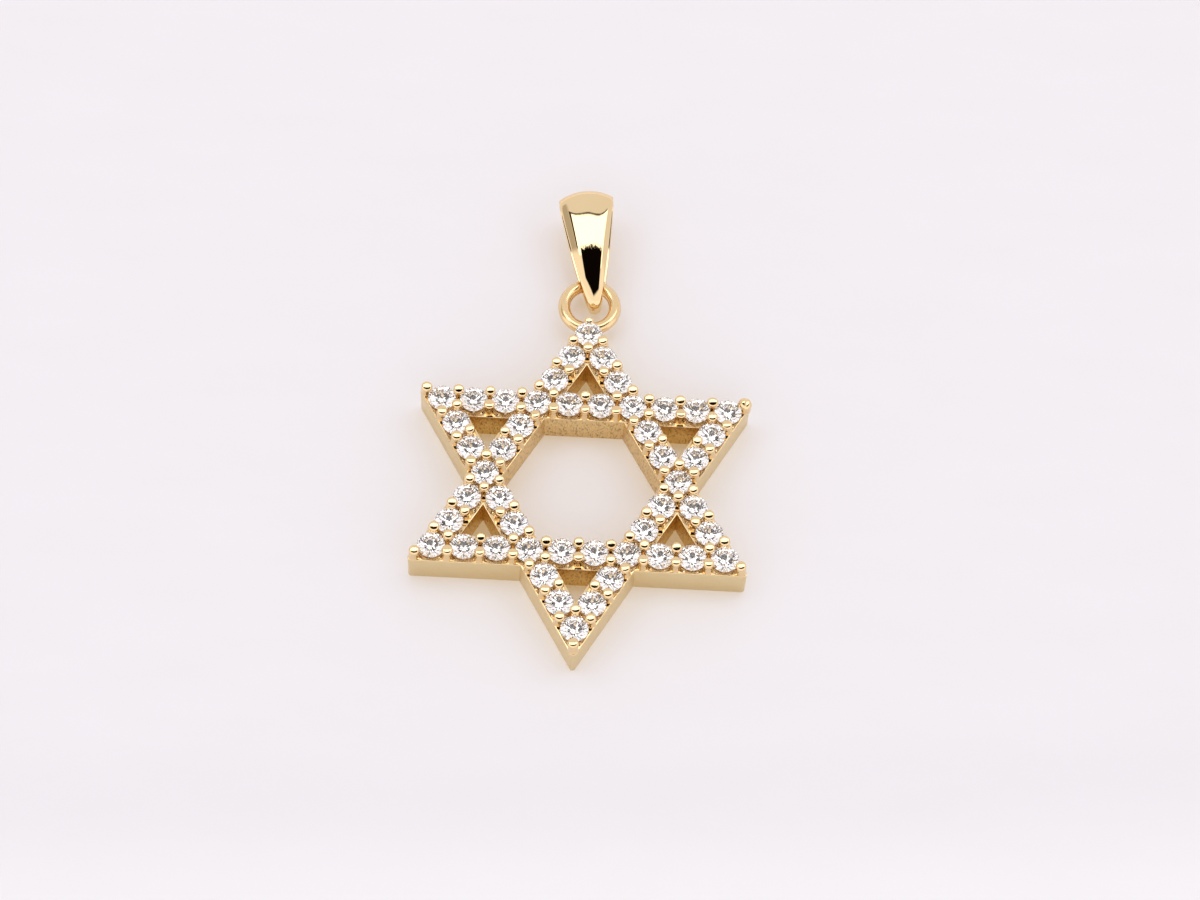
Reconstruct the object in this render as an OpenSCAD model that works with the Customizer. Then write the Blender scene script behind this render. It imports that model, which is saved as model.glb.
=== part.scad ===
// Star of David pendant: a cast gold star set with round brilliant stones, with a fixed ring at its
// top point and a polished drop-shaped bail that hangs on the ring. Millimetres, lying on its back.

/* [Stones] */
// Diameter of a round stone at its girdle
stone_d = 1.4; // [1.1:0.02:1.7]
// Clear space between two neighbouring stones
stone_gap = 0.2; // [0.14:0.01:0.4]
// Diameter of a stone's flat table
table_d = 0.77; // [0.5:0.01:0.9]
// Height of a stone's crown, from girdle to table
crown_h = 0.2; // [0.12:0.01:0.3]
// Thickness of a stone's girdle
girdle_t = 0.03; // [0.01:0.01:0.06]
// Depth of a stone's pavilion, from girdle to point
pavilion_h = 0.6; // [0.4:0.02:0.8]
// How far a stone sits off level, in degrees, in a direction that changes from stone to stone
stone_lean = 1.2; // [0:0.2:1.6]

/* [Star] */
// Spaces between stones along one side of each of the six points
point_steps = 3; // [2:1:4]
// Height of the gold bar, from its flat back to its top
bar_h = 1.75; // [1.2:0.05:2.6]
// Height of the stones' girdles above the bar's top
girdle_rise = 0.35; // [0.25:0.01:0.6]
// How far the bar's wall stands outside the stones' edges
wall_out = 0.01; // [0:0.01:0.1]
// Width of the gold rim left between a stone's hollow and the wall
hollow_rim = 0.1; // [0.06:0.01:0.2]
// Extra width of the bar at the six small openings
opening_land = 0.09; // [0.08:0.01:0.3]
// Radius of the upright corner at the end of each point
tip_round = 0.16; // [0.08:0.01:0.3]

/* [Prongs] */
// Gap between a stone and the posts around it
post_clear = 0.03; // [0.02:0.005:0.06]
// How far a prong between two stones is set in towards their row
prong_inset = 0.05; // [0:0.01:0.07]
// How much further the prongs along the star's outside are set in
outer_inset = 0.04; // [0:0.01:0.06]
// How far a prong's bead stands out over its post
bead_lip = 0.1; // [0.03:0.01:0.12]
// Gap between a bead and the edge of the stone under it
bead_clear = 0.03; // [0.02:0.005:0.08]
// How far the outer beads lean in over the stones
bead_lean = 0.03; // [0:0.01:0.08]
// Diameter of the heavy claw on one point
heavy_claw_d = 0.7; // [0.5:0.02:0.9]
// How far the middle of the heavy claw lies outside the last stone's edge
heavy_claw_out = 0.26; // [0.2:0.01:0.4]

/* [Ring] */
// Diameter of the hole in the ring
ring_hole_d = 2; // [1.6:0.02:2.6]
// Diameter of the ring's wire
ring_wire_d = 0.62; // [0.5:0.02:0.8]
// Height of the ring's middle above the flat back
ring_h = 0.95; // [0.8:0.01:1.3]
// Gold of the ring between the star's top point and the ring's hole
ring_cover = 0.06; // [0.04:0.01:0.4]

/* [Bail] */
// Length of the bail
bail_l = 6.7; // [5.5:0.05:9]
// Width across the bail's top
bail_top_w = 3.05; // [2:0.05:3.6]
// Width across the bail's narrow end
bail_tip_w = 0.25; // [0.2:0.05:0.6]
// How the bail widens along its length: below 1 it widens first near its narrow end
bail_taper = 0.7; // [0.6:0.05:1.2]
// Thickness of the bail along its edges
bail_edge_t = 0.25; // [0.18:0.01:0.4]
// Rise of the bail's domed face, as a share of its width
bail_dome = 0.14; // [0.05:0.01:0.2]
// Radius inside the bail's top, where the chain runs
bail_top_r = 0.5; // [0.4:0.05:1.1]
// Radius of the bail's long bowed sides
bail_side_r = 10; // [7:0.5:30]
// Gap between the ring's wire and the inside of the bail's narrow end
bail_clear = 0.08; // [0.05:0.01:0.2]
// How far the ring's wire lies up from the bail's narrow end
bail_slip = 0.78; // [0.3:0.02:1.2]
// Angle by which the bail lies turned on the ring
bail_turn = 7; // [0:0.2:15]
// Angle by which the bail lies rolled on to one side
bail_roll = 4.2; // [-8:0.2:8]
// How far the bail lies to the right of the ring's middle
bail_shift = 0.11; // [0:0.01:0.25]

/* [Hidden] */
gold = [0.86, 0.72, 0.47];
white_stone = [0.93, 0.94, 0.96];
through = 1;
$fn = 48;

// Rows of stones
stone_r = stone_d / 2;
pitch = stone_d + stone_gap;
point_side = point_steps * pitch;
row_out = point_side * sqrt(3) / 2;
end_stone_y = 2 * row_out;
girdle_z = bar_h + girdle_rise;
crossing = [point_side / 2, row_out];

// Walls of the star
edge = stone_r + wall_out;
hollow_r = edge - hollow_rim;
tip_y = end_stone_y + 2 * edge - tip_round;
hexagon_r = (row_out - edge) / cos(30);
opening_edge = edge + opening_land;
opening_y = end_stone_y - point_side / sqrt(3);
opening_r = point_side / sqrt(3) - 2 * opening_edge;

// Prongs
cell_r = pitch / sqrt(3);
prong_off = cell_r / 2 - prong_inset;
outer_off = prong_off - outer_inset;
prong_r = norm([pitch / 2, prong_off]) - stone_r - post_clear;
outer_prong_r = norm([pitch / 2, outer_off]) - stone_r - post_clear;
bead_r = prong_r + bead_lip;
tip_reach = stone_r + post_clear + prong_r;
prong_root = 0.3;
claw_notch_z = girdle_z + girdle_t / 2 + post_clear;

// Ring and bail
ring_r = (ring_hole_d + ring_wire_d) / 2;
ring_y = tip_y + ring_cover + ring_hole_d / 2;
bail_tip_r = ring_wire_d / 2 + bail_clear;
bail_tip_a = bail_edge_t + bail_dome * bail_tip_w + bail_tip_r;
bail_top_a = bail_l - bail_edge_t - bail_dome * bail_top_w - bail_top_r;
bail_wire_a = bail_tip_a + bail_slip;
bail_top_steps = 16;
bail_side_steps = 12;
bail_tip_steps = 12;
bail_face_steps = 8;

// The middle of the finished pendant's outline, from front point to bail's top, is its origin
bail_end_y = ring_y + ring_r + (bail_l - bail_wire_a) * cos(bail_turn);
middle_y = (bail_end_y - tip_y) / 2;

function between(a, b, share) = a + (b - a) * share;
function turned(p, angle) = [p.x * cos(angle) - p.y * sin(angle), p.x * sin(angle) + p.y * cos(angle)];

// The six points are alike: all that follows is worked out for the top one and turned by 60 degrees
right_side = [for (i = [0:point_steps]) between([0, end_stone_y], crossing, i / point_steps)];
base_side = [for (i = [0:point_steps]) between([-crossing.x, crossing.y], crossing, i / point_steps)];

// Stones that each point owns: its own rows and the crossing on its right
point_stones = concat(
    right_side,
    [for (i = [1:point_steps - 1]) [-right_side[i].x, right_side[i].y]],
    [for (i = [1:point_steps - 1]) base_side[i]]
);

// Outer prongs along the right side of a point
outer_prongs = [for (i = [0:point_steps - 1])
    between(right_side[i], right_side[i + 1], 0.5) + outer_off * [cos(30), sin(30)]];

// Prongs along the side of the hexagon
hexagon_prongs = [for (i = [0:point_steps - 1])
    between(base_side[i], base_side[i + 1], 0.5) - [0, prong_off]];

// Prongs inside the small triangle of a point: between three stones in its corners, and between
// two stones along its sides
corner_prongs = [for (a = [90, 210, 330])
    [0, opening_y] + (point_side - pitch) / sqrt(3) * [cos(a), sin(a)]];
opening_prongs = point_steps < 3 ? [] : [for (a = [0, 120, 240], i = [1:point_steps - 2])
    [0, opening_y] + turned([(i + 0.5) * pitch - point_side / 2,
        prong_off - point_side / (2 * sqrt(3))], a)];

// Outline of the star, anticlockwise, with a round corner at each point and a notch between points
star_outline = [for (k = [0:5]) each [for (p = concat(
        [for (a = [30:20:150]) [0, tip_y - tip_round] + tip_round * [cos(a), sin(a)]],
        [(row_out + edge) / cos(30) * [cos(120), sin(120)]]))
    turned(p, 60 * k)]];

module at_each_point() {
    for (k = [0:5]) rotate(60 * k) children();
}

// Gold bars of both triangles in one, open in the middle and in each point
module bars() {
    difference() {
        linear_extrude(height = bar_h) polygon(star_outline);
        translate([0, 0, -through]) cylinder(h = bar_h + 2 * through, r = hexagon_r, $fn = 6);
        at_each_point() translate([0, opening_y, -through]) rotate(90)
            cylinder(h = bar_h + 2 * through, r = opening_r, $fn = 3);
        at_each_point() for (p = point_stones) translate(p) hollow();
    }
}

// Hollow under a stone: a cone as steep as the stone's pavilion, cut from the bar's top
module hollow() {
    slope = pavilion_h / stone_r;
    translate([0, 0, bar_h - hollow_r * slope])
        cylinder(h = hollow_r * slope + through, r1 = 0, r2 = hollow_r + through / slope);
}

// One prong: a post on the bar with a round bead on it, which may lean towards the row. The bead
// lies on the edges of the stones, reach from their middles, with a named gap.
module prong(place, post_r, reach, lean = [0, 0]) {
    rise = sqrt(pow(bead_r + bead_clear, 2) - pow(min(reach - stone_r, bead_r), 2));
    bead_z = girdle_z + girdle_t / 2 + rise;
    translate([place.x, place.y, bar_h - prong_root]) cylinder(h = bead_z - bar_h + prong_root, r = post_r);
    translate([place.x + lean.x, place.y + lean.y, bead_z]) sphere(r = bead_r);
}

module prongs_of_point() {
    for (side = [0, 1]) mirror([side, 0, 0]) for (p = outer_prongs)
        prong(p, outer_prong_r, norm([pitch / 2, outer_off - bead_lean]), -bead_lean * [cos(30), sin(30)]);
    for (p = concat(hexagon_prongs, opening_prongs)) prong(p, prong_r, norm([pitch / 2, prong_off]));
    for (p = corner_prongs) prong(p, prong_r, cell_r);
}

module tip_prong() {
    prong([0, end_stone_y + tip_reach], prong_r, tip_reach - bead_lean, [0, -bead_lean]);
}

// One point carries a heavier claw, hollowed where the last stone's edge goes under it
module heavy_claw() {
    difference() {
        translate([0, end_stone_y + stone_r + heavy_claw_out, bar_h - prong_root]) {
            cylinder(h = girdle_z - bar_h + prong_root, r = heavy_claw_d / 2);
            translate([0, 0, girdle_z - bar_h + prong_root]) sphere(d = heavy_claw_d);
        }
        translate([0, end_stone_y, bar_h - prong_root - through])
            cylinder(h = claw_notch_z - bar_h + prong_root + through, r = stone_r + post_clear);
        translate([0, end_stone_y, claw_notch_z])
            cylinder(h = crown_h, r1 = stone_r + post_clear, r2 = table_r + post_clear);
    }
}

// Round wire ring, cast on to the star's top point
module ring() {
    translate([0, ring_y, ring_h]) rotate_extrude() translate([ring_r, 0]) circle(d = ring_wire_d);
}

module star_frame() {
    color(gold) translate([0, -middle_y, 0]) {
        bars();
        at_each_point() prongs_of_point();
        for (k = [0:4]) rotate(60 * k) tip_prong();
        rotate(300) heavy_claw();
        ring();
    }
}

// Round brilliant cut: eight main facets above and below the girdle, with star and half facets
table_r = table_d / 2;
crown_slope = crown_h / (stone_r - table_r);
pavilion_slope = pavilion_h / stone_r;
star_r = between(table_r * cos(22.5), stone_r, 0.55);
star_z = girdle_t / 2 + crown_h - (star_r * cos(22.5) - table_r) * crown_slope;
lower_r = stone_r * 0.24;
lower_z = -girdle_t / 2 - (stone_r - lower_r * cos(22.5)) * pavilion_slope;

function circle_points(count, r, z, start) =
    [for (i = [0:count - 1]) [r * cos(start + 360 * i / count), r * sin(start + 360 * i / count), z]];

brilliant_points = concat(
    circle_points(8, table_r, girdle_t / 2 + crown_h, 0),
    circle_points(8, star_r, star_z, 22.5),
    circle_points(16, stone_r, girdle_t / 2, 0),
    circle_points(16, stone_r, -girdle_t / 2, 0),
    circle_points(8, lower_r, lower_z, 22.5),
    [[0, 0, -girdle_t / 2 - pavilion_h]]
);

// First index of each ring of points in the list above
star_i = 8;
upper_i = 16;
under_i = 32;
lower_i = 48;
culet_i = 56;

brilliant_faces = concat(
    [[for (i = [7:-1:0]) i]],
    [for (i = [0:7]) [i, (i + 1) % 8, star_i + i]],
    [for (i = [0:7]) [i, star_i + i, upper_i + 2 * i, star_i + (i + 7) % 8]],
    [for (i = [0:7]) [star_i + i, upper_i + 2 * i + 1, upper_i + 2 * i]],
    [for (i = [0:7]) [star_i + i, upper_i + (2 * i + 2) % 16, upper_i + 2 * i + 1]],
    [for (i = [0:15]) [upper_i + i, upper_i + (i + 1) % 16, under_i + (i + 1) % 16, under_i + i]],
    [for (i = [0:7]) [lower_i + i, under_i + 2 * i, under_i + 2 * i + 1]],
    [for (i = [0:7]) [lower_i + i, under_i + 2 * i + 1, under_i + (2 * i + 2) % 16]],
    [for (i = [0:7]) [culet_i, lower_i + (i + 7) % 8, under_i + 2 * i, lower_i + i]]
);

module round_stones() {
    color(white_stone) translate([0, -middle_y, girdle_z])
        for (k = [0:5], j = [0:len(point_stones) - 1]) rotate(60 * k) translate(point_stones[j]) {
            i = k * len(point_stones) + j;
            rotate([stone_lean * cos(53 * i), stone_lean * sin(53 * i), 37 * i])
                polyhedron(brilliant_points, brilliant_faces);
        }
}

// The bail's inside, seen from its side: a large arc at the top and a small one at the narrow end,
// joined by two long bowed arcs. a runs along the bail from its narrow end, n across it.
bail_span = bail_top_a - bail_tip_a;
bow_a = (bail_span + (pow(bail_side_r - bail_tip_r, 2) - pow(bail_side_r - bail_top_r, 2)) / bail_span) / 2;
bow_n = sqrt(pow(bail_side_r - bail_tip_r, 2) - bow_a * bow_a);
top_angle = atan2(bow_n, bail_span - bow_a);
tip_angle = atan2(bow_n, -bow_a);

bail_angles = concat(
    [for (i = [0:bail_top_steps - 1]) between(-top_angle, top_angle, i / bail_top_steps)],
    [for (i = [0:bail_side_steps - 1]) between(top_angle, tip_angle, i / bail_side_steps)],
    [for (i = [0:bail_tip_steps - 1]) between(tip_angle, 360 - tip_angle, i / bail_tip_steps)],
    [for (i = [0:bail_side_steps - 1]) between(360 - tip_angle, 360 - top_angle, i / bail_side_steps)]
);

function bail_inside(angle) = let (away = angle > 180 ? 360 - angle : abs(angle),
        side = angle > 180 || angle < 0 ? -1 : 1,
        arc = away <= top_angle ? [bail_top_a, 0, bail_top_r]
            : away < tip_angle ? [bail_tip_a + bow_a, -bow_n, bail_side_r]
            : [bail_tip_a, 0, bail_tip_r])
    [arc[0] + arc[2] * cos(away), side * (arc[1] + arc[2] * sin(away))];
function bail_width(a) = between(bail_tip_w, bail_top_w, pow(a / bail_l, bail_taper));
function bail_thick(a, across) = bail_edge_t + bail_dome * bail_width(a) * (1 - across * across);

// Across the bail: the flat inside first, then the domed face from edge to edge
bail_section = concat([[1, 0], [0.4, 0], [-0.4, 0], [-1, 0]],
    [for (i = [0:bail_face_steps]) [-cos(180 * i / bail_face_steps), 1]]);

function rolled(x, y, z) = let (r = turned([x, z], bail_roll)) [r.x, y, r.y];

bail_points = [for (angle = bail_angles) let (p = bail_inside(angle)) each [for (s = bail_section)
    let (out = s[1] * bail_thick(p.x, s[0]))
    rolled(s[0] * bail_width(p.x) / 2, p.x + out * cos(angle) - bail_wire_a, p.y + out * sin(angle))]];

// Slope at which the bail's lowest point lies level with the star's flat back
bail_slope = max([for (p = bail_points) if (p.y > 1 && p.z < 0)
    atan2(-p.z, p.y) - asin(ring_h / norm([p.z, p.y]))]);

section_n = len(bail_section);
bail_n = len(bail_angles);
bail_faces = [for (i = [0:bail_n - 1], j = [0:section_n - 1])
    let (i2 = (i + 1) % bail_n, j2 = (j + 1) % section_n)
    [i * section_n + j, i * section_n + j2, i2 * section_n + j2, i2 * section_n + j]];

module bail() {
    color(gold) translate([bail_shift, ring_y + ring_r - middle_y, ring_h]) rotate(bail_turn)
        rotate([bail_slope, 0, 0]) polyhedron(bail_points, bail_faces);
}

star_frame();
round_stones();
bail();
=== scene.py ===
"""Star of David pendant: a cast gold star set with round brilliant stones, with a fixed ring at its
top point and a polished bail that hangs on the ring. It lies on its back on a pale glossy floor."""
import math

import bmesh
import bpy
from mathutils import Matrix, Vector, noise


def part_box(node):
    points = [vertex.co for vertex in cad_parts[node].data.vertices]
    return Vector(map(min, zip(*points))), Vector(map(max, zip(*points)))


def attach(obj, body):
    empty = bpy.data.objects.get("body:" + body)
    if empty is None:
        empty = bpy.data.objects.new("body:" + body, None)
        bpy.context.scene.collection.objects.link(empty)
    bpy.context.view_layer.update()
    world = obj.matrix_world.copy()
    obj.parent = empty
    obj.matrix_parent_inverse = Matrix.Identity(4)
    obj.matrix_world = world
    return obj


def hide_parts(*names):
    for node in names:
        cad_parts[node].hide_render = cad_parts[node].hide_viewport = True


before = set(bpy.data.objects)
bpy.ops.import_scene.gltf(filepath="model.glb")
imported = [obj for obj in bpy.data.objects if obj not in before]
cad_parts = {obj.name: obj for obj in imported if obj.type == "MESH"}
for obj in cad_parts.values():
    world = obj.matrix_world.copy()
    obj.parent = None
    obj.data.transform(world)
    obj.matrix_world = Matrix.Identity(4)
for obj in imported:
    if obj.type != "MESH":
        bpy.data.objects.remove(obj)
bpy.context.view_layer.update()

# Star bars
# Two crossed triangles of 14-carat gold, cast in one with an open middle and an opening in each
# point. The walls keep the satin skin of the casting, and the top between the stones is polished.
mm = 0.001
star_points = 6
point_turn = 360 / star_points
# The way that the top point's right side faces, in degrees from +X
side_facing = 30
stone_d = 1.4 * mm
stone_gap = 0.2 * mm
# Steps from stone to stone along one side of a point
point_steps = 3
bar_h = 1.75 * mm
girdle_rise = 0.35 * mm
wall_out = 0.01 * mm
hollow_rim = 0.1 * mm
opening_land = 0.09 * mm
tip_round = 0.16 * mm
tip_step = 12
top_edge_round = 0.045 * mm
back_edge_round = 0.05 * mm
# Steps round the rounded edges, in degrees
edge_angles = (0, 30, 60, 90)
hollow_lip = 0.025 * mm
hollow_depth = 0.95 * mm
hollow_sides = 20
hollow_tip_r = 0.06 * mm
weld_reach = 0.0005 * mm

stone_r = stone_d / 2
pitch = stone_d + stone_gap
girdle_z = bar_h + girdle_rise
point_side = point_steps * pitch
row_out = point_side * math.sqrt(3) / 2
end_stone_y = 2 * row_out
wall_edge = stone_r + wall_out
hollow_r = wall_edge - hollow_rim
tip_y = end_stone_y + 2 * wall_edge - tip_round
opening_y = end_stone_y - point_side / math.sqrt(3)
star_middle = Vector((0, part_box("star_frame")[0].y + tip_y, 0))


def toward(degrees, length):
    """A flat vector of that length, at an angle from +X."""
    return Vector((math.cos(math.radians(degrees)), math.sin(math.radians(degrees)))) * length


def turned(point, degrees):
    """A flat point turned about the star's middle."""
    return Matrix.Rotation(math.radians(degrees), 2) @ point


def mirrored(point):
    """A flat point mirrored from one side of the star to the other."""
    return Vector((-point.x, point.y))


def regular(sides, radius, start):
    """Corners of a regular outline round the origin, anticlockwise."""
    return [toward(start + 360 * i / sides, radius) for i in range(sides)]


def inset(loop, width):
    """An anticlockwise outline moved in by a width, with its sides kept parallel."""
    moved = []
    for i, here in enumerate(loop):
        ahead = (loop[(i + 1) % len(loop)] - here).normalized()
        behind = (here - loop[i - 1]).normalized()
        normal_a = Vector((-ahead.y, ahead.x))
        normal_b = Vector((-behind.y, behind.x))
        moved.append(here + (normal_a + normal_b) * (width / (1 + normal_a.dot(normal_b))))
    return moved


def stone_places():
    """Middles of the stones along the two rows and the base of each point, each stone once."""
    top = Vector((0, end_stone_y))
    crossing = Vector((point_side / 2, row_out))
    places = [top.lerp(crossing, i / point_steps) for i in range(point_steps + 1)]
    flank = [mirrored(p) for p in places[1:-1]]
    base = [mirrored(crossing).lerp(crossing, i / point_steps) for i in range(1, point_steps)]
    return [turned(p, point_turn * k) for k in range(star_points) for p in places + flank + base]


def star_outline():
    """Outer outline of the star, with a rounded corner at each point and a notch between points."""
    notch_reach = (row_out + wall_edge) / math.cos(math.radians(point_turn / 2))
    notch = toward(90 + point_turn / 2, notch_reach)
    tip_middle = Vector((0, tip_y - tip_round))
    tip_angles = range(side_facing, 180 - side_facing + 1, tip_step)
    tip = [tip_middle + toward(a, tip_round) for a in tip_angles]
    return [turned(p, point_turn * k) for k in range(star_points) for p in tip + [notch]]


def rounded_wall():
    """Steps of a wall from back to top, as (how far in, height), with both edges rounded."""
    steps = []
    for a in reversed(edge_angles):
        steps.append((back_edge_round * (1 - math.cos(math.radians(a))),
                      back_edge_round * (1 - math.sin(math.radians(a)))))
    for a in edge_angles:
        steps.append((top_edge_round * (1 - math.cos(math.radians(a))),
                      bar_h - top_edge_round * (1 - math.sin(math.radians(a)))))
    return steps


def ring_of(bm, loop, height):
    """A ring of points at one height, from a flat outline."""
    return [bm.verts.new((p.x, p.y, height)) for p in loop]


def bridge(bm, low, high, material=0):
    """Four-sided faces between two rings of as many points."""
    for i in range(len(low)):
        face = bm.faces.new((low[i - 1], low[i], high[i], high[i - 1]))
        face.material_index = material
        face.smooth = True


def fill_between(bm, rings, material):
    """One flat face, in triangles, bounded by rings of points."""
    edges = []
    for ring in rings:
        for i in range(len(ring)):
            edge = bm.edges.get((ring[i - 1], ring[i])) or bm.edges.new((ring[i - 1], ring[i]))
            edges.append(edge)
    made = bmesh.ops.triangle_fill(bm, use_beauty=True, use_dissolve=False, edges=edges)
    for face in made["geom"]:
        if isinstance(face, bmesh.types.BMFace):
            face.material_index = material
            face.smooth = True


def piece_from(bm, name, materials, place, sharp_angle=35):
    """A finished mesh object at the origin, its place in its mesh, smooth but for its sharp edges."""
    bmesh.ops.remove_doubles(bm, verts=bm.verts, dist=weld_reach)
    bmesh.ops.recalc_face_normals(bm, faces=bm.faces)
    bmesh.ops.translate(bm, verts=bm.verts, vec=place)
    mesh = bpy.data.meshes.new(name)
    bm.to_mesh(mesh)
    bm.free()
    for material in materials:
        mesh.materials.append(material)
    mesh.shade_smooth()
    mesh.set_sharp_from_angle(angle=math.radians(sharp_angle))
    piece = bpy.data.objects.new(name, mesh)
    bpy.context.scene.collection.objects.link(piece)
    return piece


def linear(hex_colour):
    """An sRGB hex colour as linear values for a shader's socket."""
    values = [int(hex_colour[i:i + 2], 16) / 255 for i in (1, 3, 5)]
    return [v / 12.92 if v <= 0.04045 else ((v + 0.055) / 1.055) ** 2.4 for v in values] + [1]


def add(tree, kind, inputs=(), **settings):
    """Adds one node: its settings by name, and its inputs in order, or in a dict by name or index.
    An input is a value, a socket to link from, or a node to link from by its first output."""
    node = tree.nodes.new(kind)
    for name, value in settings.items():
        setattr(node, name, value)
    for socket, value in inputs.items() if isinstance(inputs, dict) else enumerate(inputs):
        source = value.outputs[0] if isinstance(value, bpy.types.Node) else value
        if isinstance(source, bpy.types.NodeSocket):
            tree.links.new(source, node.inputs[socket])
        else:
            node.inputs[socket].default_value = source
    return node


def new_material(name):
    """An empty node material, its tree and its output node."""
    material = bpy.data.materials.new(name)
    material.use_nodes = True
    tree = material.node_tree
    tree.nodes.clear()
    return material, tree, add(tree, "ShaderNodeOutputMaterial")


def gold_finish(name, colours, roughness, grain, grain_depth, drag=(1, 1, 1), patch=1.7 * mm,
                pits=None):
    """Gold in one of its finishes. Two colours are mixed in patches, roughness is a low and a high
    value, and grain is the size of the finish's marks, dragged out along an axis. Pits is the size
    of the casting's dark pits, where it has them."""
    noise_low, noise_high = 0.3, 0.7
    pit_rim, pit_floor = 0.52, 0.78
    pit_colour = "#7D5C2C"
    material, tree, output = new_material(name)
    place = add(tree, "ShaderNodeTexCoord").outputs["Object"]
    dragged = add(tree, "ShaderNodeMapping", {"Vector": place, "Scale": drag})
    patches = add(tree, "ShaderNodeTexNoise", {"Vector": dragged, "Scale": 1 / patch, "Detail": 3})
    colour = add(tree, "ShaderNodeMix", {"Factor": patches, 6: linear(colours[0]),
                                         7: linear(colours[1])}, data_type="RGBA").outputs[2]
    if pits:
        spots = add(tree, "ShaderNodeTexNoise", {"Vector": dragged, "Scale": 1 / pits, "Detail": 2})
        dark = add(tree, "ShaderNodeMapRange", {"Value": spots, "From Min": pit_rim,
                                                "From Max": pit_floor})
        colour = add(tree, "ShaderNodeMix", {"Factor": dark, 6: colour, 7: linear(pit_colour)},
                     data_type="RGBA").outputs[2]
    marks = add(tree, "ShaderNodeTexNoise", {"Vector": dragged, "Scale": 1 / grain, "Detail": 5,
                                             "Roughness": 0.6})
    rough = add(tree, "ShaderNodeMapRange", {"Value": marks, "From Min": noise_low,
                                             "From Max": noise_high, "To Min": roughness[0],
                                             "To Max": roughness[1]})
    bump = add(tree, "ShaderNodeBump", {"Height": marks, "Distance": grain_depth, "Strength": 1.0})
    shader = add(tree, "ShaderNodeBsdfPrincipled", {"Base Color": colour, "Metallic": 1.0,
                                                    "Roughness": rough, "Normal": bump})
    tree.links.new(shader.outputs[0], output.inputs[0])
    return material


# 14-carat yellow gold, cast and tumbled: a satin skin with a fine upright grain from the wax model.
# In all cast finishes the grain and the pits are drawn about twice as coarse as real, so they show.
satin_gold = gold_finish("satin cast gold", colours=("#E1CB9E", "#E6D3A7"), roughness=(0.3, 0.42),
                         grain=0.07 * mm, grain_depth=0.006 * mm, drag=(1, 1, 0.25))
# The hexagon's walls, which the tumbler rubs less, mottled with small pits. Their deeper colour is
# painted shade, standing in for the dimmer light inside the hexagon.
hexagon_gold = gold_finish("lightly tumbled gold with painted shade", colours=("#CFAB69", "#FBE3B2"),
                           roughness=(0.34, 0.46), grain=0.06 * mm, grain_depth=0.01 * mm,
                           drag=(1, 1, 0.35), patch=0.07 * mm, pits=0.08 * mm)
# The small openings' walls, rough from the mould. Their deep yellow is painted light: gold deepened as
# if by the light that the walls throw on each other.
opening_gold = gold_finish("as-cast gold with painted bounce light", colours=("#DAAE5A", "#FFEAAC"), roughness=(0.36, 0.5),
                           grain=0.07 * mm, grain_depth=0.014 * mm, drag=(1, 1, 0.4),
                           patch=0.08 * mm, pits=0.09 * mm)
# The seats' cut cones, bright but dulled by the burr's fine rings
seat_gold = gold_finish("cut seat gold", colours=("#E3CDA6", "#EBD8B4"), roughness=(0.22, 0.36),
                        grain=0.1 * mm, grain_depth=0.004 * mm)
# The same gold after polishing: near mirror, with faint wheel marks
polished_gold = gold_finish("polished gold", colours=("#ECCF9F", "#F0D5A6"), roughness=(0.05, 0.1),
                            grain=0.2 * mm, grain_depth=0.001 * mm)
star_finishes = [satin_gold, polished_gold, hexagon_gold, opening_gold, seat_gold]
satin, polished, hexagon_wall, opening_wall, seat = range(len(star_finishes))

hexagon = regular(star_points, (row_out - wall_edge) / math.cos(math.radians(point_turn / 2)), 0)
opening_r = point_side / math.sqrt(3) - 2 * (wall_edge + opening_land)
openings = [[turned(Vector((0, opening_y)) + p, point_turn * k) for p in regular(3, opening_r, 90)]
            for k in range(star_points)]
# Walls as (outline, 1 where the gold lies inside it and -1 where it lies outside, finish)
walls = [(star_outline(), 1, satin), (hexagon, -1, hexagon_wall)]
walls += [(opening, -1, opening_wall) for opening in openings]
upright_step = len(edge_angles) - 1
bm = bmesh.new()
backs, tops = [], []
for outline, side, finish in walls:
    rings = [ring_of(bm, inset(outline, side * inward), z) for inward, z in rounded_wall()]
    for step, (low, high) in enumerate(zip(rings, rings[1:])):
        bridge(bm, low, high, polished if step > upright_step else finish)
    backs.append(rings[0])
    tops.append(rings[-1])
stone_middles = stone_places()
seat_steps = [(hollow_r + hollow_lip, 0), (hollow_r, hollow_lip), (hollow_tip_r, hollow_depth)]
for place in stone_middles:
    rings = []
    for radius, depth in seat_steps:
        rings.append(ring_of(bm, [place + p for p in regular(hollow_sides, radius, 0)], bar_h - depth))
    for low, high in zip(rings, rings[1:]):
        bridge(bm, low, high, seat)
    bm.faces.new(rings[-1]).material_index = seat
    tops.append(rings[0])
fill_between(bm, backs, satin)
fill_between(bm, tops, polished)
star_bars = piece_from(bm, "star_bars", star_finishes, star_middle)
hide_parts("star_frame")
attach(star_bars, "root")

# Prongs
# Four round posts stand round every stone, cast in one with the bars and flush with their walls.
# Each is notched for the stones' edges, pressed over them and polished to a dome.
post_clear = 0.03 * mm
bead_off = 0.37 * mm
bead_r = 0.278 * mm
bead_half_h = 0.18 * mm
bead_rise = 0.39 * mm
post_r = 0.25 * mm
prong_foot = 0.03 * mm
prong_foot_h = 0.08 * mm
prong_root = 0.06 * mm
neck_blend = 0.03 * mm
post_end_taper = 8.0
tip_reach = 0.89 * mm
ring_prong_lower = 0.4 * mm
ring_prong_in = 0.07 * mm
ring_prong_bead = 0.8
prong_rings = 18
prong_sides = 14
# A flatness of 2 makes a round bead, and more a flatter crown with a rounder shoulder
bead_flatness = 3.4
# Angles in degrees, but for the wander, which is in radians
bead_face_tilt = 7.0
post_lean = 5.5
prong_wander = Vector((0.03, 0.03, 0.3))
wander_seed = 5
smallest_prong = (0.93, 0.93, 0.97)
largest_prong = (1.04, 1.04, 1.0)
size_seed = 9
# The stones that the prongs are notched for
crown_h = 0.2 * mm
pavilion_h = 0.6 * mm
table_r = 0.385 * mm
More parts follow.
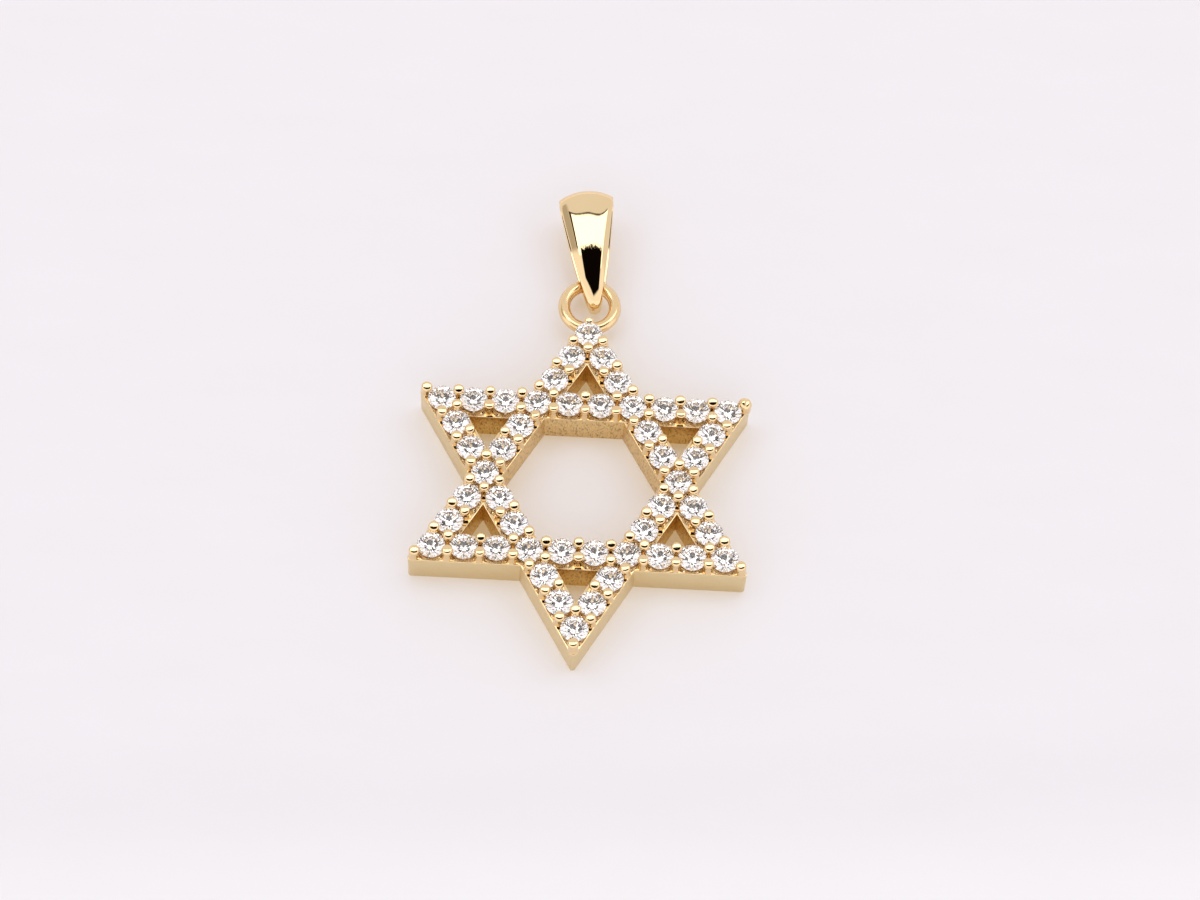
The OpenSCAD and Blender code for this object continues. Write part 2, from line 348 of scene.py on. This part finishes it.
# Points are counted anticlockwise from the top one
ring_point = 0
heavy_claw_point = 5

bead_top_z = girdle_z + bead_rise
prong_h = bead_top_z - bar_h + prong_root
lean_out = prong_h * math.sin(math.radians(post_lean))
post_off = bead_off + lean_out


def clear_of_stones(vertex):
    """Moves a point of a prong out of the stones beside it, which cuts the prong's notches."""
    for place in stone_middles:
        away = vertex.co.xy - place
        if away.length > pitch:
            continue
        risen = vertex.co.z - girdle_z
        if risen > 0:
            clear_r = stone_r - risen * (stone_r - table_r) / crown_h
        else:
            clear_r = stone_r + risen * stone_r / pavilion_h
        if risen < crown_h and away.length < clear_r + post_clear:
            vertex.co.xy = place + away.normalized() * (clear_r + post_clear)


def prong_tree():
    """Geometry Nodes: one lathe-turned prong on each point, leaning and sized a little by chance."""
    tree = bpy.data.node_groups.new("prong_on_points", "GeometryNodeTree")
    face = tree.interface
    face.new_socket("Geometry", in_out="INPUT", socket_type="NodeSocketGeometry")
    for name in ("Height", "Post Radius", "Bead Radius", "Bead Half Height", "Flatness", "Foot",
                 "Face Slope"):
        face.new_socket(name, in_out="INPUT", socket_type="NodeSocketFloat")
    face.new_socket("Finish", in_out="INPUT", socket_type="NodeSocketMaterial")
    face.new_socket("Geometry", in_out="OUTPUT", socket_type="NodeSocketGeometry")
    given = add(tree, "NodeGroupInput").outputs
    output = add(tree, "NodeGroupOutput")

    # Rings lie closer together towards the top, so that the bead's crown is round
    axis = add(tree, "GeometryNodeCurvePrimitiveLine", {"Start": (0, 0, 0), "End": (0, 0, 1)})
    axis = add(tree, "GeometryNodeResampleCurve", {"Curve": axis, "Count": prong_rings})
    share = add(tree, "GeometryNodeSplineParameter").outputs["Factor"]
    rest = add(tree, "ShaderNodeMath", (1.0, share), operation="SUBTRACT")
    rest = add(tree, "ShaderNodeMath", (rest, rest), operation="MULTIPLY")
    risen = add(tree, "ShaderNodeMath", (1.0, rest), operation="SUBTRACT")
    height = add(tree, "ShaderNodeMath", (risen, given["Height"]), operation="MULTIPLY")
    bead_z = add(tree, "ShaderNodeMath", (given["Height"], given["Bead Half Height"]),
                 operation="SUBTRACT")
    above = add(tree, "ShaderNodeMath", (height, bead_z), operation="SUBTRACT")

    # The bead's radius follows a circle that the flatness squares
    off = add(tree, "ShaderNodeMath", (above, given["Bead Half Height"]), operation="DIVIDE")
    off = add(tree, "ShaderNodeMath", (off,), operation="ABSOLUTE")
    off = add(tree, "ShaderNodeMath", (off, given["Flatness"]), operation="POWER")
    within = add(tree, "ShaderNodeMath", (1.0, off), operation="SUBTRACT")
    within = add(tree, "ShaderNodeMath", (within, 0.0), operation="MAXIMUM")
    root = add(tree, "ShaderNodeMath", (1.0, given["Flatness"]), operation="DIVIDE")
    round_r = add(tree, "ShaderNodeMath", (within, root), operation="POWER")
    bead = add(tree, "ShaderNodeMath", (round_r, given["Bead Radius"]), operation="MULTIPLY")

    # The post is wider at its foot, and tapers off inside the bead
    fade = add(tree, "ShaderNodeMath", (height, -prong_foot_h), operation="DIVIDE")
    fade = add(tree, "ShaderNodeMath", (fade,), operation="EXPONENT")
    foot = add(tree, "ShaderNodeMath", (given["Foot"], fade), operation="MULTIPLY")
    taper = add(tree, "ShaderNodeMath", (above, 0.0), operation="MAXIMUM")
    taper = add(tree, "ShaderNodeMath", (taper, -post_end_taper), operation="MULTIPLY")
    post = add(tree, "ShaderNodeMath", (given["Post Radius"], foot), operation="ADD")
    post = add(tree, "ShaderNodeMath", (post, taper), operation="ADD")

    radius = add(tree, "ShaderNodeMath", (bead, post, neck_blend), operation="SMOOTH_MAX")
    axis = add(tree, "GeometryNodeSetCurveRadius", {"Curve": axis, "Radius": radius})
    spine = add(tree, "ShaderNodeCombineXYZ", {"Z": height})
    axis = add(tree, "GeometryNodeSetPosition", {"Geometry": axis, "Position": spine})
    circle = add(tree, "GeometryNodeCurvePrimitiveCircle", {"Resolution": prong_sides, "Radius": 1.0})
    thickness = add(tree, "GeometryNodeInputRadius")
    prong = add(tree, "GeometryNodeCurveToMesh", {"Curve": axis, "Profile Curve": circle,
                                                  "Scale": thickness, "Fill Caps": True})
    # The beading tool is held a little to the back, so every crown faces a little to the front
    spot = add(tree, "GeometryNodeInputPosition")
    behind = add(tree, "ShaderNodeSeparateXYZ", {0: spot}).outputs["Y"]
    lift = add(tree, "ShaderNodeMath", (behind, given["Face Slope"]), operation="MULTIPLY")
    shift = add(tree, "ShaderNodeCombineXYZ", {"Z": lift})
    prong = add(tree, "GeometryNodeSetPosition", {"Geometry": prong, "Offset": shift})

    lean = add(tree, "GeometryNodeInputNamedAttribute", {"Name": "lean"}, data_type="FLOAT_VECTOR")
    wander = add(tree, "FunctionNodeRandomValue", {0: -prong_wander, 1: prong_wander,
                                                   "Seed": wander_seed}, data_type="FLOAT_VECTOR")
    turn = add(tree, "ShaderNodeVectorMath", (lean, wander), operation="ADD")
    size = add(tree, "FunctionNodeRandomValue", {0: smallest_prong, 1: largest_prong,
                                                 "Seed": size_seed}, data_type="FLOAT_VECTOR")
    rows = add(tree, "GeometryNodeInstanceOnPoints", {"Points": given["Geometry"], "Instance": prong,
                                                      "Rotation": turn, "Scale": size})
    real = add(tree, "GeometryNodeRealizeInstances", {"Geometry": rows})
    done = add(tree, "GeometryNodeSetMaterial", {"Geometry": real, "Material": given["Finish"]})
    tree.links.new(done.outputs[0], output.inputs[0])
    return tree


def grown(name, tree, start, sizes, place, trim=None):
    """A Geometry Nodes result as a plain mesh object, its points trimmed and its normals outward."""
    holder = bpy.data.objects.new(name + "_points", start)
    bpy.context.scene.collection.objects.link(holder)
    nodes = holder.modifiers.new("nodes", "NODES")
    nodes.node_group = tree
    for item in tree.interface.items_tree:
        if item.in_out == "INPUT" and item.name in sizes:
            nodes[item.identifier] = sizes[item.name]
    evaluated = holder.evaluated_get(bpy.context.evaluated_depsgraph_get())
    result = bpy.data.meshes.new_from_object(evaluated)
    bpy.data.objects.remove(holder)
    bm = bmesh.new()
    bm.from_mesh(result)
    if trim:
        for vertex in bm.verts:
            trim(vertex)
    return piece_from(bm, name, list(result.materials), place)


def prong_group(name, places, lower=0.0, bead_share=1.0):
    """Prongs of one kind, given as (place, direction in which they lean). They may be lower than the
    usual ones, and their beads have a share of the usual radius."""
    start = bpy.data.meshes.new(name + "_points")
    start.from_pydata([(p.x, p.y, bar_h - prong_root) for p, lean in places], [], [])
    leans = start.attributes.new("lean", "FLOAT_VECTOR", "POINT")
    for value, (place, lean) in zip(leans.data, places):
        tilt = lean * math.radians(post_lean)
        value.vector = (-tilt.y, tilt.x, 0)
    sizes = {"Height": prong_h - lower, "Post Radius": post_r, "Bead Radius": bead_r * bead_share,
             "Bead Half Height": bead_half_h, "Flatness": bead_flatness, "Foot": prong_foot,
             "Face Slope": math.tan(math.radians(bead_face_tilt)), "Finish": polished_gold}
    group = grown(name, prong_nodes, start, sizes, star_middle, trim=clear_of_stones)
    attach(group, "root")


def on_all_points(places, skip=()):
    """Places on the top point, with their lean, repeated on the star's six points."""
    return [(turned(p, point_turn * k), turned(lean, point_turn * k))
            for k in range(star_points) if k not in skip for p, lean in places]


top_stone = Vector((0, end_stone_y))
right_crossing = Vector((point_side / 2, row_out))
outward = toward(side_facing, 1)
outer_prongs, hexagon_prongs, corner_prongs, opening_prongs = [], [], [], []
for step in range(point_steps):
    share = (step + 0.5) / point_steps
    place = top_stone.lerp(right_crossing, share) + outward * post_off
    outer_prongs += [(place, -outward), (mirrored(place), mirrored(-outward))]
    place = mirrored(right_crossing).lerp(right_crossing, share) - Vector((0, post_off))
    hexagon_prongs.append((place, toward(90, 1)))
opening_middle = Vector((0, opening_y))
corner_reach = (point_side - pitch) / math.sqrt(3)
side_prong = Vector((0, post_off - point_side / (2 * math.sqrt(3))))
for corner in (90, 210, 330):
    corner_prongs.append((opening_middle + toward(corner, corner_reach), Vector((0, 0))))
    opening_prongs.append((opening_middle + turned(side_prong, corner - 90), toward(corner + 180, 1)))
tip_place = Vector((0, end_stone_y + tip_reach + lean_out))
tip_lean = toward(270, 1)
prong_nodes = prong_tree()
prong_group("outer_prongs", on_all_points(outer_prongs))
prong_group("hexagon_prongs", on_all_points(hexagon_prongs))
prong_group("corner_prongs", on_all_points(corner_prongs))
prong_group("opening_prongs", on_all_points(opening_prongs))
prong_group("tip_prongs", on_all_points([(tip_place, tip_lean)], skip=(ring_point, heavy_claw_point)))
prong_group("ring_prong", [(tip_place - Vector((0, ring_prong_in)), tip_lean)],
            lower=ring_prong_lower, bead_share=ring_prong_bead)

# Hanging ring
# A closed ring of round gold wire, cast on to the star's top point and polished. The wire is a
# little thicker where it runs into the point.
ring_hole_d = 2.0 * mm
ring_wire_d = 0.62 * mm
ring_h = 0.95 * mm
ring_cover = 0.06 * mm
ring_foot = 0.02 * mm
# How far below the ring's middle the wire starts to thicken, as a share of the ring's radius
ring_foot_start = 0.8
ring_steps = 72
wire_sides = 24
ring_r = (ring_hole_d + ring_wire_d) / 2
ring_y = tip_y + ring_cover + ring_hole_d / 2


def ring_tree():
    """Geometry Nodes: a round wire swept round a circle, thicker at the foot of the ring."""
    tree = bpy.data.node_groups.new("wire_ring", "GeometryNodeTree")
    face = tree.interface
    for name in ("Ring Radius", "Wire Radius", "Foot"):
        face.new_socket(name, in_out="INPUT", socket_type="NodeSocketFloat")
    face.new_socket("Finish", in_out="INPUT", socket_type="NodeSocketMaterial")
    face.new_socket("Geometry", in_out="OUTPUT", socket_type="NodeSocketGeometry")
    given = add(tree, "NodeGroupInput").outputs
    output = add(tree, "NodeGroupOutput")
    path = add(tree, "GeometryNodeCurvePrimitiveCircle", {"Resolution": ring_steps,
                                                          "Radius": given["Ring Radius"]})
    place = add(tree, "GeometryNodeInputPosition")
    up = add(tree, "ShaderNodeSeparateXYZ", {0: place}).outputs["Y"]
    near_foot = add(tree, "ShaderNodeMapRange", {"Value": up, "From Min": -ring_foot_start * ring_r,
                                                 "From Max": -ring_r, "To Min": 0.0, "To Max": 1.0},
                    interpolation_type="SMOOTHSTEP")
    wire_r = add(tree, "ShaderNodeMath", (near_foot, given["Foot"], given["Wire Radius"]),
                 operation="MULTIPLY_ADD")
    circle = add(tree, "GeometryNodeCurvePrimitiveCircle", {"Resolution": wire_sides, "Radius": 1.0})
    wire = add(tree, "GeometryNodeCurveToMesh", {"Curve": path, "Profile Curve": circle,
                                                 "Scale": wire_r})
    real = add(tree, "GeometryNodeRealizeInstances", {"Geometry": wire})
    done = add(tree, "GeometryNodeSetMaterial", {"Geometry": real, "Material": given["Finish"]})
    tree.links.new(done.outputs[0], output.inputs[0])
    return tree


# Gold wire polished by tumbling: soft reflections, without the wheel's mirror
tumbled_gold = gold_finish("tumbled gold", colours=("#EACC9A", "#EED3A4"), roughness=(0.14, 0.22),
                           grain=0.12 * mm, grain_depth=0.002 * mm)
hang_ring = grown("hang_ring", ring_tree(), bpy.data.meshes.new("ring_start"),
                  {"Ring Radius": ring_r, "Wire Radius": ring_wire_d / 2, "Foot": ring_foot,
                   "Finish": tumbled_gold},
                  star_middle + Vector((0, ring_y, ring_h)))
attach(hang_ring, "root")

# Heavy claw
# One point carries a thicker claw, a lump of gold worked down over the last stone's edge by hand,
# so its face is uneven. It is polished, and hollowed where the stone's edge goes under it.
heavy_claw_d = 0.7 * mm
heavy_claw_out = 0.26 * mm
claw_top = 0.34 * mm
claw_rings = 26
claw_sides = 48
claw_unevenness = 0.035 * mm
claw_lump = 0.28 * mm
crease_depth = 0.07 * mm
crease_width = 0.07 * mm
crease_turn = 62.0
crease_off = 0.08 * mm
claw_sharp_angle = 60
claw_r = heavy_claw_d / 2

bm = bmesh.new()
rings = [ring_of(bm, regular(claw_sides, claw_r, 0), z) for z in (bar_h - prong_root, girdle_z)]
for i in range(1, claw_rings):
    a = math.radians(90 * i / claw_rings)
    rings.append(ring_of(bm, regular(claw_sides, claw_r * math.cos(a), 0),
                         girdle_z + claw_top * math.sin(a)))
for low, high in zip(rings, rings[1:]):
    bridge(bm, low, high)
bm.faces.new(rings[0])
bm.faces.new(rings[-1])
for vertex in bm.verts:
    spot = vertex.co
    if spot.z <= girdle_z:
        continue
    # Hammered lumps, and one crease pressed into the top by the tool
    share = (spot.z - girdle_z) / claw_top
    spot.z += claw_unevenness * share * noise.noise(spot / claw_lump)
    across = spot.xy.dot(toward(crease_turn, 1)) - crease_off
    spot.z -= crease_depth * share * math.exp(-(across / crease_width) ** 2)
bm.transform(Matrix.Translation((0, end_stone_y + stone_r + heavy_claw_out, 0)))
bm.transform(Matrix.Rotation(math.radians(point_turn * heavy_claw_point), 4, "Z"))
for vertex in bm.verts:
    clear_of_stones(vertex)
heavy_claw = piece_from(bm, "heavy_claw", [polished_gold], star_middle, sharp_angle=claw_sharp_angle)
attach(heavy_claw, "root")

# Round stones
# Forty-eight white round brilliants, each with 57 polished facets, its table among them. They sit
# in cone hollows, held by the prongs, and flash white where they send the softbox back to the eye.
zirconia_ior = 2.18
tint_patch = 2 * mm


def brilliant_stone():
    """Cubic zirconia, cut and polished: clear, with a high index that sends most light back up."""
    material, tree, output = new_material("cubic zirconia")
    place = add(tree, "ShaderNodeTexCoord").outputs["Object"]
    cells = add(tree, "ShaderNodeTexNoise", {"Vector": place, "Scale": 1 / tint_patch, "Detail": 1})
    tint = add(tree, "ShaderNodeMix", {"Factor": cells, 6: linear("#FBFAFC"), 7: linear("#FFFDFA")},
               data_type="RGBA").outputs[2]
    shader = add(tree, "ShaderNodeBsdfPrincipled", {"Base Color": tint, "Roughness": 0.0,
                                                    "IOR": zirconia_ior, "Transmission Weight": 1.0})
    tree.links.new(shader.outputs[0], output.inputs[0])
    return material


round_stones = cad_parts["round_stones"]
round_stones.data.materials.clear()
round_stones.data.materials.append(brilliant_stone())

# Bail
# A drop-shaped loop of gold sheet, wide at the top where the chain runs and narrow at the ring. Its
# face is domed across and bowed along, and buffed to a mirror.
bail_l = 6.7 * mm
bail_top_w = 3.05 * mm
bail_tip_w = 0.25 * mm
bail_taper = 0.7
bail_edge_t = 0.25 * mm
bail_dome = 0.14
bail_top_r = 0.5 * mm
bail_side_r = 10 * mm
bail_clear = 0.08 * mm
bail_slip = 0.78 * mm
bail_turn = 7.0
bail_roll = 4.2
bail_shift = 0.11 * mm
bail_rest_from = 1 * mm
bail_sharp_angle = 50
edge_round = 0.05 * mm
# The face's shoulder is squarer than a circle, whose power would be 2
shoulder_power = 6
# Places across the flat inside, as shares of half the width
inside_places = (0.8, 0.4, 0, -0.4, -0.8)
top_steps, side_steps, tip_steps = 32, 32, 16
face_steps = 20

tip_r = ring_wire_d / 2 + bail_clear
tip_a = bail_edge_t + bail_dome * bail_tip_w + tip_r
top_a = bail_l - bail_edge_t - bail_dome * bail_top_w - bail_top_r
wire_a = tip_a + bail_slip
span = top_a - tip_a
bow_a = (span + ((bail_side_r - tip_r) ** 2 - (bail_side_r - bail_top_r) ** 2) / span) / 2
bow_n = math.sqrt((bail_side_r - tip_r) ** 2 - bow_a ** 2)
top_angle = math.atan2(bow_n, span - bow_a)
tip_angle = math.atan2(bow_n, -bow_a)


def bail_inside(angle):
    """Inside of the loop seen from its side: arcs at the top and the tip, joined by bowed arcs."""
    away = abs(angle)
    if away <= top_angle:
        middle, rise, radius = top_a, 0, bail_top_r
    elif away < tip_angle:
        middle, rise, radius = tip_a + bow_a, -bow_n, bail_side_r
    else:
        middle, rise, radius = tip_a, 0, tip_r
    side = 1 if angle >= 0 else -1
    return middle + radius * math.cos(away), side * (rise + radius * math.sin(away))


def bail_width(a):
    """Width of the strip at a place along the bail, from its narrow end."""
    return bail_tip_w + (bail_top_w - bail_tip_w) * max(a / bail_l, 0) ** bail_taper


def bail_section(width):
    """Across the strip, as (place across, height): flat inside, rounded edges and a domed face."""
    points = [(x * width / 2, 0.0) for x in inside_places]
    half = width / 2 - edge_round
    for a in (270, 240, 210, 180):
        points.append((-half + edge_round * math.cos(math.radians(a)),
                       edge_round + edge_round * math.sin(math.radians(a))))
    for i in range(face_steps + 1):
        across = -math.cos(math.pi * i / face_steps)
        shoulder = edge_round * (1 - math.sqrt(1 - min(1, abs(across)) ** shoulder_power))
        points.append((across * width / 2,
                       bail_edge_t - shoulder + bail_dome * width * (1 - across * across)))
    for a in (0, -30, -60, -90):
        points.append((half + edge_round * math.cos(math.radians(a)),
                       edge_round + edge_round * math.sin(math.radians(a))))
    return points


def bail_angles():
    """Angles round the loop, spaced evenly along each of its arcs."""
    angles = [-top_angle + 2 * top_angle * i / top_steps for i in range(top_steps)]
    angles += [top_angle + (tip_angle - top_angle) * i / side_steps for i in range(side_steps)]
    angles += [tip_angle + (math.pi - tip_angle) * i / tip_steps for i in range(tip_steps)]
    angles += [-math.pi + (math.pi - tip_angle) * i / tip_steps for i in range(tip_steps)]
    angles += [-tip_angle + (tip_angle - top_angle) * i / side_steps for i in range(side_steps)]
    return angles


bm = bmesh.new()
roll = Matrix.Rotation(-math.radians(bail_roll), 4, "Y")
rings = []
for angle in bail_angles():
    a, n = bail_inside(angle)
    ring = []
    for across, out in bail_section(bail_width(a)):
        point = Vector((across, a + out * math.cos(angle) - wire_a, n + out * math.sin(angle)))
        ring.append(bm.verts.new(roll @ point))
    rings.append(ring)
for i in range(len(rings)):
    bridge(bm, rings[i - 1], rings[i])
# It drops from the ring until its wide end touches the floor
slope = max(math.atan2(-v.co.z, v.co.y) - math.asin(ring_h / math.hypot(v.co.y, v.co.z))
            for v in bm.verts if v.co.y > bail_rest_from and v.co.z < 0)
bm.transform(Matrix.Rotation(math.radians(bail_turn), 4, "Z") @ Matrix.Rotation(slope, 4, "X"))
# Gold buffed on the wheel: a true mirror with hardly a mark
mirror_gold = gold_finish("buffed gold", colours=("#EDD2A2", "#F1D8AA"), roughness=(0.015, 0.04),
                          grain=0.5 * mm, grain_depth=0.0008 * mm)
bail = piece_from(bm, "drop_bail", [mirror_gold],
                  star_middle + Vector((bail_shift, ring_y + ring_r, ring_h)),
                  sharp_angle=bail_sharp_angle)
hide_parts("bail")
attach(bail, "root")

# Floor and studio light
# The pendant lies on a pale glossy sheet in a white tent. A softbox hangs above it and a little
# behind, and the dark room round the camera shows as the black in the mirror-like gold.
floor_half = 1500 * mm
# Strength of the sheet's painted warm glow
painted_floor_glow = 0.4
ripples_per_mm = 0.15
tent_strength = 0.92
# The softbox's far edge isn't level: its corners hang lower, and the right one more
corner_power = 3.5
corner_drop = 0.59
corner_twist = 0.22
edge_slope = 0.06
# The cloth before the dark room: threads to the radian, how deep they hang in degrees, and its slant
threads_aside = 9.0
threads_over = 25.0
thread_depth = 10
cloth_slant = 0.12
dark_point = 0.2

# Cast acrylic, glossy with faint ripples. It has a painted glow of warm cream, though no lamp lies under
# it, which keeps the shadows on it pale and warm, standing in for gold light thrown back by the walls.
# Its own colour is a cool blue, so that the open sheet still looks white.
bm = bmesh.new()
bmesh.ops.create_grid(bm, x_segments=8, y_segments=8, size=floor_half)
material, tree, output = new_material("pale acrylic sheet")
place = add(tree, "ShaderNodeTexCoord").outputs["Object"]
along = add(tree, "ShaderNodeMapping", {"Vector": place, "Scale": (1, 3, 1)})
ripple = add(tree, "ShaderNodeTexNoise", {"Vector": along, "Scale": ripples_per_mm / mm, "Detail": 5})
tone = add(tree, "ShaderNodeMix", {"Factor": ripple, 6: linear("#B5C6DE"), 7: linear("#B9CAE2")},
           data_type="RGBA").outputs[2]
shader = add(tree, "ShaderNodeBsdfPrincipled", {"Base Color": tone, "Roughness": 0.06, "IOR": 1.5,
                                                "Specular IOR Level": 0.3,
                                                "Emission Color": linear("#FFD59C"),
                                                "Emission Strength": painted_floor_glow})
tree.links.new(shader.outputs[0], output.inputs[0])
floor = piece_from(bm, "floor", [material], Vector((0, 0, 0)))

world = bpy.data.worlds.new("white tent")
bpy.context.scene.world = world
world.use_nodes = True
tree = world.node_tree
tree.nodes.clear()
direction = add(tree, "ShaderNodeTexCoord").outputs["Generated"]
axes = add(tree, "ShaderNodeSeparateXYZ", {0: direction}).outputs
# Angle from the far horizon over the zenith to the near one, and angle to the side
over = add(tree, "ShaderNodeMath", (axes["Z"], axes["Y"]), operation="ARCTAN2")
aside = add(tree, "ShaderNodeMath", (axes["X"],), operation="ARCSINE")
off_middle = add(tree, "ShaderNodeMath", (aside,), operation="ABSOLUTE")


def panel(below, over_limits, aside_limits, blur, colour, strength, far=None, near=None):
    """A bright or dark panel in the tent, laid over what is below it. Its limits and the blur of its
    edges are in degrees, and the angles that its far and near edges follow may differ from over."""
    # Edges as (angle, limit, how much of the panel there is before the limit)
    edges = [(far or over, over_limits[0], 0.0), (near or over, over_limits[1], 1.0),
             (aside, aside_limits[0], 0.0), (aside, aside_limits[1], 1.0)]
    shape = 1.0
    for angle, limit, before in edges:
        inside = add(tree, "ShaderNodeMapRange", {"Value": angle,
                                                  "From Min": math.radians(limit - blur),
                                                  "From Max": math.radians(limit + blur),
                                                  "To Min": before, "To Max": 1 - before},
                     interpolation_type="SMOOTHSTEP")
        shape = add(tree, "ShaderNodeMath", (shape, inside), operation="MULTIPLY")
    light = [c * strength for c in linear(colour)[:3]] + [1]
    return add(tree, "ShaderNodeMix", {"Factor": shape, 6: below, 7: light}, data_type="RGBA").outputs[2]


light = [c * tent_strength for c in linear("#FFFBFE")[:3]] + [1]
# The tent's brighter near wall and roof, and a grey board at its left
light = panel(light, over_limits=(126, 180), aside_limits=(-90, 90), blur=6, colour="#FFFBFC",
              strength=1.3)
light = panel(light, over_limits=(92, 128), aside_limits=(-90, 90), blur=6, colour="#FFFBFC",
              strength=1.15)
light = panel(light, over_limits=(40, 95), aside_limits=(-80, -47), blur=4, colour="#FFF6F0",
              strength=0.55)
# The softbox in its thin black rim
corners = add(tree, "ShaderNodeMath", (off_middle, corner_power), operation="POWER")
drooping = add(tree, "ShaderNodeMath", (corners, corner_drop, over), operation="MULTIPLY_ADD")
squared = add(tree, "ShaderNodeMath", (aside, aside), operation="MULTIPLY")
cubed = add(tree, "ShaderNodeMath", (aside, squared), operation="MULTIPLY")
twisted = add(tree, "ShaderNodeMath", (cubed, corner_twist, drooping), operation="MULTIPLY_ADD")
far_edge = add(tree, "ShaderNodeMath", (aside, edge_slope, twisted), operation="MULTIPLY_ADD")
light = panel(light, over_limits=(67, 93), aside_limits=(-47, 40), blur=0.5, colour="#141010",
              strength=1.0, far=far_edge)
light = panel(light, over_limits=(68.5, 98), aside_limits=(-42.8, 41), blur=1, colour="#FFFEFC",
              strength=2.4, far=far_edge)
# The dark room begins behind a slanting, ragged edge of cloth, and ends in a point at the camera
spread_aside = add(tree, "ShaderNodeMath", (aside, threads_aside), operation="MULTIPLY")
spread_over = add(tree, "ShaderNodeMath", (over, threads_over), operation="MULTIPLY")
spread = add(tree, "ShaderNodeCombineXYZ", {"X": spread_aside, "Y": spread_over})
threads = add(tree, "ShaderNodeTexNoise", {"Vector": spread, "Scale": 1.0, "Detail": 4})
ragged = add(tree, "ShaderNodeMath", (threads, math.radians(thread_depth), over),
             operation="MULTIPLY_ADD")
cloth_edge = add(tree, "ShaderNodeMath", (aside, cloth_slant, ragged), operation="MULTIPLY_ADD")
pointed = add(tree, "ShaderNodeMath", (off_middle, dark_point, over), operation="MULTIPLY_ADD")
light = panel(light, over_limits=(93.5, 122), aside_limits=(-35, 38), blur=1.5, colour="#0C0806",
              strength=1.0, far=cloth_edge, near=pointed)
background = add(tree, "ShaderNodeBackground", {"Color": light, "Strength": 1.0})
tree.links.new(background.outputs[0], add(tree, "ShaderNodeOutputWorld").inputs[0])
# Light goes from wall to wall in the openings, and round and round inside the stones
bpy.context.scene.cycles.max_bounces = 16
bpy.context.scene.cycles.glossy_bounces = 12
bpy.context.scene.cycles.diffuse_bounces = 6

# Camera
# It stands in front of the pendant and looks steeply down, turned and tipped a little, with a long
# lens. Distances are from the star's middle on the floor.
camera_aim = Vector((0.877 * mm, 2.78 * mm, 0))
camera_distance = 150.77 * mm
camera_elevation = math.radians(60.87)
camera_turn = math.radians(1.382)
camera_tip = math.radians(4.13)
lens_mm = 89.29
sensor_mm = 36
nearest_seen = 5 * mm
farthest_seen = 5000 * mm

forward = Vector((math.sin(camera_turn) * math.cos(camera_elevation),
                  math.cos(camera_turn) * math.cos(camera_elevation), -math.sin(camera_elevation)))
level_right = forward.cross(Vector((0, 0, 1))).normalized()
level_up = level_right.cross(forward)
right = level_right * math.cos(camera_tip) + level_up * math.sin(camera_tip)
up = level_up * math.cos(camera_tip) - level_right * math.sin(camera_tip)
camera_data = bpy.data.cameras.new("camera")
camera_data.lens = lens_mm
camera_data.sensor_width = sensor_mm
camera_data.clip_start = nearest_seen
camera_data.clip_end = farthest_seen
camera = bpy.data.objects.new("camera", camera_data)
bpy.context.scene.collection.objects.link(camera)
turn = Matrix((right, up, -forward)).transposed().to_4x4()
camera.matrix_world = Matrix.Translation(star_middle + camera_aim - forward * camera_distance) @ turn
bpy.context.scene.camera = camera
bpy.context.scene.view_settings.view_transform = "Standard"
